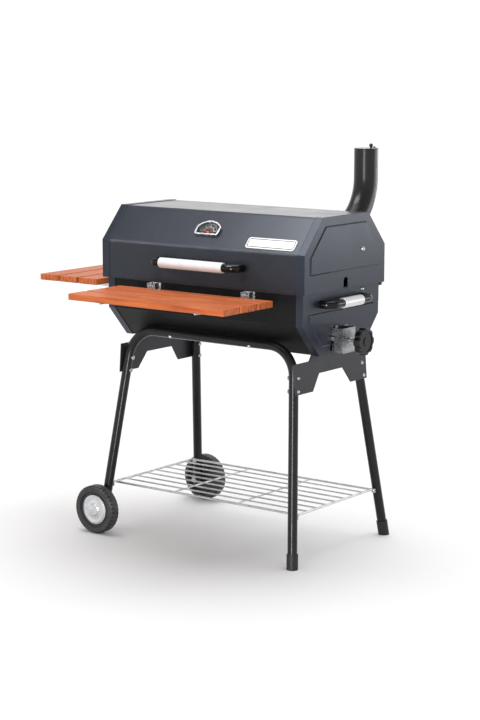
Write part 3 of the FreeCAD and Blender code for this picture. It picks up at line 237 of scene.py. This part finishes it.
looks = {
    "lid_paint": paint("lid_paint", (0.0042, 0.0045, 0.006), (0.006, 0.0065, 0.009), (0.3, 0.34),
                       dust=0.025, corner=0.009, Specular_IOR_Level=0.24, Specular_Tint=(0.72, 0.82, 1.0, 1),
                       Coat_Weight=0.14, Coat_Roughness=0.24),
    "end_paint": paint("end_paint", (0.007, 0.0084, 0.014), (0.011, 0.013, 0.021), (0.3, 0.36),
                       Specular_IOR_Level=0.34, Specular_Tint=(0.7, 0.82, 1.0, 1),
                       Coat_Weight=0.08, Coat_Roughness=0.25),
    "bowl_paint": paint("bowl_paint", (0.002, 0.002, 0.0022), (0.004, 0.004, 0.0043), (0.34, 0.44),
                        corner=0.004, Specular_IOR_Level=0.13),
    "chimney_paint": paint("chimney_paint", (0.005, 0.005, 0.006), (0.008, 0.008, 0.0095), (0.28, 0.34),
                           Specular_IOR_Level=0.2, Coat_Weight=0.15, Coat_Roughness=0.22),
    "stand_paint": paint("stand_paint", (0.0028, 0.0028, 0.003), (0.005, 0.005, 0.0055), (0.18, 0.26),
                         0.08, dust=0.03, corner=0.001, Specular_IOR_Level=0.3),
    "plate_paint": paint("plate_paint", (0.01, 0.0105, 0.014), (0.015, 0.016, 0.021), (0.34, 0.42),
                         Specular_IOR_Level=0.3),
    "handle_black": paint("handle_black", (0.0015, 0.0015, 0.0015), (0.003, 0.003, 0.003), (0.08, 0.15),
                          0.05, dust=0.02, corner=0.001, Specular_IOR_Level=0.25),
    "tray_steel": paint("tray_steel", (0.008, 0.008, 0.008), (0.02, 0.019, 0.018), (0.6, 0.8), 0.3),
    "grate_enamel": paint("grate_enamel", (0.006, 0.006, 0.006), (0.014, 0.0135, 0.013), (0.3, 0.5),
                          corner=0.001),
    "needle_red": paint("needle_red", (0.45, 0.02, 0.014), (0.6, 0.035, 0.022), (0.25, 0.35), 0.05,
                        (0.8, 0.3, 0.25), 0.0, 0.0003),
    "dial_face": paint("dial_face", (0.02, 0.02, 0.023), (0.032, 0.032, 0.036), (0.45, 0.6), 0.05,
                       dust=0.0, corner=0.0003, Specular_IOR_Level=0.2),
    "grip_silver": metal("grip_silver", (0.56, 0.56, 0.57), (0.64, 0.64, 0.65), (0.36, 0.46),
                         lines=0.04, Metallic=0.35),
    "zinc_fasteners": metal("zinc_fasteners", (0.36, 0.37, 0.39), (0.52, 0.53, 0.55), (0.24, 0.38),
                            spangle=0.2),
    "zinc_wire": metal("zinc_wire", (0.5, 0.51, 0.53), (0.68, 0.69, 0.71), (0.28, 0.42), spangle=0.25),
    "zinc_bracket": metal("zinc_bracket", (0.5, 0.51, 0.53), (0.7, 0.71, 0.73), (0.24, 0.4),
                          spangle=0.3),
    # Base colour set darker than real chrome, standing in for dimmer reflections: painted shade.
    "chrome_bracket": metal("chrome_bracket", (0.16, 0.165, 0.17), (0.36, 0.365, 0.375), (0.22, 0.4),
                            (1, 1, 0.15), 0.05),
    "bezel_chrome": metal("bezel_chrome", (0.5, 0.5, 0.51), (0.62, 0.62, 0.63), (0.22, 0.32)),
    "brushed_stem": metal("brushed_stem", (0.5, 0.5, 0.51), (0.68, 0.68, 0.69), (0.3, 0.45),
                          (1, 0.1, 0.1), 0.1),
    "badge_silver": metal("badge_silver", (0.46, 0.46, 0.47), (0.54, 0.54, 0.54), (0.45, 0.55),
                          (0.04, 1, 1), 0.08, Metallic=0.3),
    "hub_silver": metal("hub_silver", (0.56, 0.57, 0.58), (0.7, 0.71, 0.72), (0.24, 0.36)),
    "grate_chrome": metal("grate_chrome", (0.6, 0.6, 0.61), (0.8, 0.8, 0.82), (0.18, 0.34)),
    "wheel_tread": plastic("wheel_tread", (0.01, 0.0103, 0.0106), (0.022, 0.0223, 0.0226), (0.42, 0.6)),
    "foot_plastic": plastic("foot_plastic", (0.008, 0.008, 0.008), (0.016, 0.016, 0.016), (0.4, 0.55),
                            Specular_IOR_Level=0.3),
    "knob_black": plastic("knob_black", (0.0015, 0.0015, 0.0015), (0.003, 0.003, 0.003), (0.08, 0.16),
                          0.03, 0.02, Specular_IOR_Level=0.3),
}

glass = Look("dial_glass", Transmission_Weight=1.0, IOR=1.15, Base_Color=(0.96, 0.98, 0.98, 1))
looks["dial_glass"] = glass.finish(rough=glass.fit(glass.noise(60, 4, warp=1.0), 0.45, 0.75, 0.0, 0.05))

front_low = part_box("front_shelf_slats")[0]
side_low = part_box("side_shelf_slats")[0]
SLAT_PITCH = 0.081
front_wood = wood("front_shelf_wood", 0, front_low.y, SLAT_PITCH)
side_wood = wood("side_shelf_wood", 1, side_low.x, SLAT_PITCH)

for part in frame["record"]["subparts"]:
    name, slot = part["node"], part["material_slot"]
    if slot == "shelf_wood":
        look = front_wood if name.startswith("front") else side_wood
    else:
        look = looks[slot]
    mesh = nodes[name].data
    mesh.materials.clear()
    mesh.materials.append(look)


# ---------------------------------------------------------------- print on the dial

pointer = next(j for j in frame["joints"] if j["name"] == "thermometer_pointer_turn")
pivot = Vector(pointer["pos_m"])
out = Vector(pointer["axis"]).normalized()
if out.z < 0:
    out = -out
side = Vector((1, 0, 0))
up = out.cross(side)
dial_plane = Matrix.Translation(pivot) @ Matrix((side, up, out)).transposed().to_4x4()


def ink(name, dark, light, clouds=(900, 2), patches=300, rough=(0.4, 0.6)):
    """Printed or enamelled marks: slightly cloudy colour and uneven shine."""
    look = Look(name)
    colour = look.ramp(look.noise(*clouds), (0.3, dark), (0.7, light))
    return look.finish(colour, look.fit(look.noise(patches, 2), 0.3, 0.7, *rough))


white_print = ink("dial_print_white", (0.4, 0.4, 0.39), (0.52, 0.52, 0.5))
red_print = ink("dial_print_red", (0.13, 0.026, 0.018), (0.19, 0.038, 0.026))
badge_enamel = ink("badge_enamel", (0.012, 0.012, 0.014), (0.03, 0.03, 0.034), (500, 3), 200, (0.3, 0.45))


def piece(name, mesh, look, place, body):
    made = bpy.data.objects.new(name, mesh)
    scene.collection.objects.link(made)
    mesh.materials.clear()
    mesh.materials.append(look)
    made.matrix_world = place
    bpy.context.view_layer.update()
    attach(made, body)
    return made


def plates(name, outlines, low, high):
    """A mesh of flat plates from lists of (x, y) points."""
    points, faces = [], []
    for outline in outlines:
        first, count = len(points), len(outline)
        points += [(x, y, low) for x, y in outline] + [(x, y, high) for x, y in outline]
        faces.append([first + i for i in reversed(range(count))])
        faces.append([first + count + i for i in range(count)])
        for i in range(count):
            j = (i + 1) % count
            faces.append([first + i, first + j, first + count + j, first + count + i])
    mesh = bpy.data.meshes.new(name)
    mesh.from_pydata(points, [], faces)
    mesh.update()
    return mesh


def ring_part(radius, width, start, end, steps):
    """Four-sided pieces of a flat ring; angles in degrees, clockwise from straight up."""
    spots = []
    for i in range(steps):
        a, b = (math.radians(start + (end - start) * k / steps) for k in (i, i + 1))
        spots.append([(r * math.sin(t), r * math.cos(t)) for r, t in
                      ((radius, a), (radius + width, a), (radius + width, b), (radius, b))])
    return spots


DIAL_TOP = 0.00226          # height of the dial's face over the pointer's pivot
SWEEP = 80                  # degrees either side of straight up
TICK_STEPS, NUMBER_STEPS = 32, 4
TICK_RADIUS, NUMBER_RADIUS = 0.0322, 0.0242
NUMBER_SIZE = 0.0046
INK = 0.0001                # thickness of the print
ticks = []
for i in range(TICK_STEPS + 1):
    long_one = i % 4 == 0
    length, half = (0.005, 0.00055) if long_one else (0.003, 0.0003)
    t = math.radians(-SWEEP + 2 * SWEEP * i / TICK_STEPS)
    along, across = Vector((math.sin(t), math.cos(t))), Vector((math.cos(t), -math.sin(t)))
    ticks.append([tuple(along * r + across * w) for r, w in
                  ((TICK_RADIUS - length, -half), (TICK_RADIUS - length, half),
                   (TICK_RADIUS, half), (TICK_RADIUS, -half))])
for name, outlines, look, slot in (
        ("dial_ticks", ticks, white_print, "dial_face"),
        ("dial_band", ring_part(0.0192, 0.0015, -SWEEP, SWEEP, 48), white_print, "dial_face"),
        ("dial_zone", ring_part(0.0112, 0.0055, -SWEEP, SWEEP, 48), red_print, "needle_red")):
    piece(name, plates(name, outlines, DIAL_TOP, DIAL_TOP + INK), look, dial_plane, "lid")
for i in range(NUMBER_STEPS + 1):
    words = bpy.data.curves.new(f"dial_number_{i}", "FONT")
    words.body = str(100 * i)
    words.size = NUMBER_SIZE
    words.align_x, words.align_y = "CENTER", "CENTER"
    words.extrude = INK / 2
    turn = math.radians(-SWEEP + 2 * SWEEP * i / NUMBER_STEPS)
    spot = Matrix.Translation((NUMBER_RADIUS * math.sin(turn), NUMBER_RADIUS * math.cos(turn),
                               DIAL_TOP + INK / 2))
    made = bpy.data.objects.new(f"dial_number_{i}", words)
    scene.collection.objects.link(made)
    words.materials.append(white_print)
    made.matrix_world = dial_plane @ spot
    bpy.context.view_layer.update()
    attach(made, "lid")


# ---------------------------------------------------------------- blank badge's frame line

badge_low, badge_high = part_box("badge_plate")
badge_middle = (badge_low + badge_high) / 2
BADGE_HALF = 0.0012                             # half the plate's thickness
LINE_INSET, LINE_CORNER = 0.0038, 0.0066        # the line's outer side
INNER_INSET, INNER_CORNER = 0.0066, 0.0038      # and its inner side
LINE_THICK = 0.00015
badge_plane = (Matrix.Translation(badge_middle + out * BADGE_HALF)
               @ Matrix((side, up, out)).transposed().to_4x4())
half_w = (badge_high.x - badge_low.x) / 2


def rounded(half_x, half_y, corner, steps=8):
    spots = []
    for sx, sy, first in ((1, 1, 0), (-1, 1, 90), (-1, -1, 180), (1, -1, 270)):
        for i in range(steps + 1):
            t = math.radians(first + 90 * i / steps)
            spots.append((sx * (half_x - corner) + corner * math.cos(t),
                          sy * (half_y - corner) + corner * math.sin(t)))
    return spots


half_h = (badge_high.z - badge_low.z - 2 * BADGE_HALF * out.z) / (2 * up.z)
outer = rounded(half_w - LINE_INSET, half_h - LINE_INSET, LINE_CORNER)
inner = rounded(half_w - INNER_INSET, half_h - INNER_INSET, INNER_CORNER)
strips = [[outer[i], outer[(i + 1) % len(outer)], inner[(i + 1) % len(inner)], inner[i]]
          for i in range(len(outer))]
piece("badge_line", plates("badge_line", strips, 0.0, LINE_THICK), badge_enamel, badge_plane, "lid")


# ---------------------------------------------------------------- floor, lights and camera

FLOOR = 30                  # half the floor's side
HORIZON, ZENITH = 1.12, 0.42

floor_mesh = bpy.data.meshes.new("floor")
floor_mesh.from_pydata([(-FLOOR, -FLOOR, 0), (FLOOR, -FLOOR, 0), (FLOOR, FLOOR, 0), (-FLOOR, FLOOR, 0)],
                       [], [(0, 1, 2, 3)])
floor = bpy.data.objects.new("floor", floor_mesh)
scene.collection.objects.link(floor)
ground = Look("floor_white")
ground.finish(ground.ramp(ground.noise(0.8, 3), (0.3, (0.9, 0.9, 0.9)), (0.7, (0.92, 0.92, 0.92))),
              ground.fit(ground.noise(2, 2), 0.3, 0.7, 0.85, 0.95))
floor_mesh.materials.append(ground.mat)

world = bpy.data.worlds.new("studio")
world.use_nodes = True
sky = world.node_tree
height = sky.nodes.new("ShaderNodeSeparateXYZ")
fade = sky.nodes.new("ShaderNodeMapRange")
for socket, value in zip(fade.inputs[1:5], (0.1, 0.7, HORIZON, ZENITH)):
    socket.default_value = value
sky.links.new(sky.nodes.new("ShaderNodeTexCoord").outputs["Generated"], height.inputs[0])
sky.links.new(height.outputs[2], fade.inputs[0])
sky.links.new(fade.outputs[0], sky.nodes["Background"].inputs["Strength"])
sky.nodes["Background"].inputs["Color"].default_value = (1, 1, 1, 1)
scene.world = world

# The softboxes light everything but the floor, so that the floor keeps its soft shadow.
not_floor = bpy.data.collections.new("lit_by_softboxes")
not_floor.objects.link(floor)
not_floor.collection_objects[0].light_linking.link_state = "EXCLUDE"


def only(slot):
    """The nodes with one slot, as the only things a lamp lights."""
    group = bpy.data.collections.new("lit_" + slot)
    for part in frame["record"]["subparts"]:
        if part["material_slot"] == slot:
            group.objects.link(nodes[part["node"]])
    return group


def lamp(name, kind, spot, power, receivers=not_floor, **settings):
    """A lamp at `spot` from the smoker's middle, pointed at that middle."""
    light = bpy.data.lights.new(name, kind)
    light.energy = power
    for key, value in settings.items():
        setattr(light, key, value)
    made = bpy.data.objects.new(name, light)
    made.visible_camera = False
    if kind == "AREA":
        made.light_linking.receiver_collection = receivers
    scene.collection.objects.link(made)
    spot = Vector(spot)
    made.matrix_world = Matrix.Translation(middle + spot) @ spot.to_track_quat("Z", "Y").to_matrix().to_4x4()
    return made


lamp("overhead", "SUN", (-0.25, 0.5, 2.6), 2.0, angle=math.radians(50))
lamp("key", "AREA", (-0.4, -0.95, 2.6), 62, shape="RECTANGLE", size=1.8, size_y=1.0)
lid_only = only("lid_paint")
lamp("sheen", "AREA", (0.1, -0.95, 2.6), 170, lid_only, shape="RECTANGLE", size=1.2, size_y=0.9)
lamp("crease", "AREA", (-1.6, -1.9, 1.4), 80, lid_only, shape="RECTANGLE", size=2.0, size_y=0.3)
lamp("rim", "AREA", (0.85, 2.3, 0.55), 8, only("chimney_paint"), shape="RECTANGLE", size=0.3, size_y=0.9)
lamp("right", "AREA", (1.75, 1.75, 0.35), 6, shape="RECTANGLE", size=0.9, size_y=0.5)
lamp("back", "AREA", (-0.75, 2.2, 0.75), 6, shape="RECTANGLE", size=2.8, size_y=0.7)
lamp("strip", "AREA", (0.95, -1.9, 0.0), 30, shape="RECTANGLE", size=0.22, size_y=1.15)

target = middle + Vector((0.07265, 0.08884, -0.0600))
camera_data = bpy.data.cameras.new("camera")
camera_data.sensor_width, camera_data.lens = 36, 92.3
camera = bpy.data.objects.new("camera", camera_data)
scene.collection.objects.link(camera)
eye = middle + Vector((3.4420, -4.3936, 0.9026))
aim = (eye - target).to_track_quat("Z", "Y").to_matrix().to_4x4()
camera.matrix_world = Matrix.Translation(eye) @ aim
scene.camera = camera
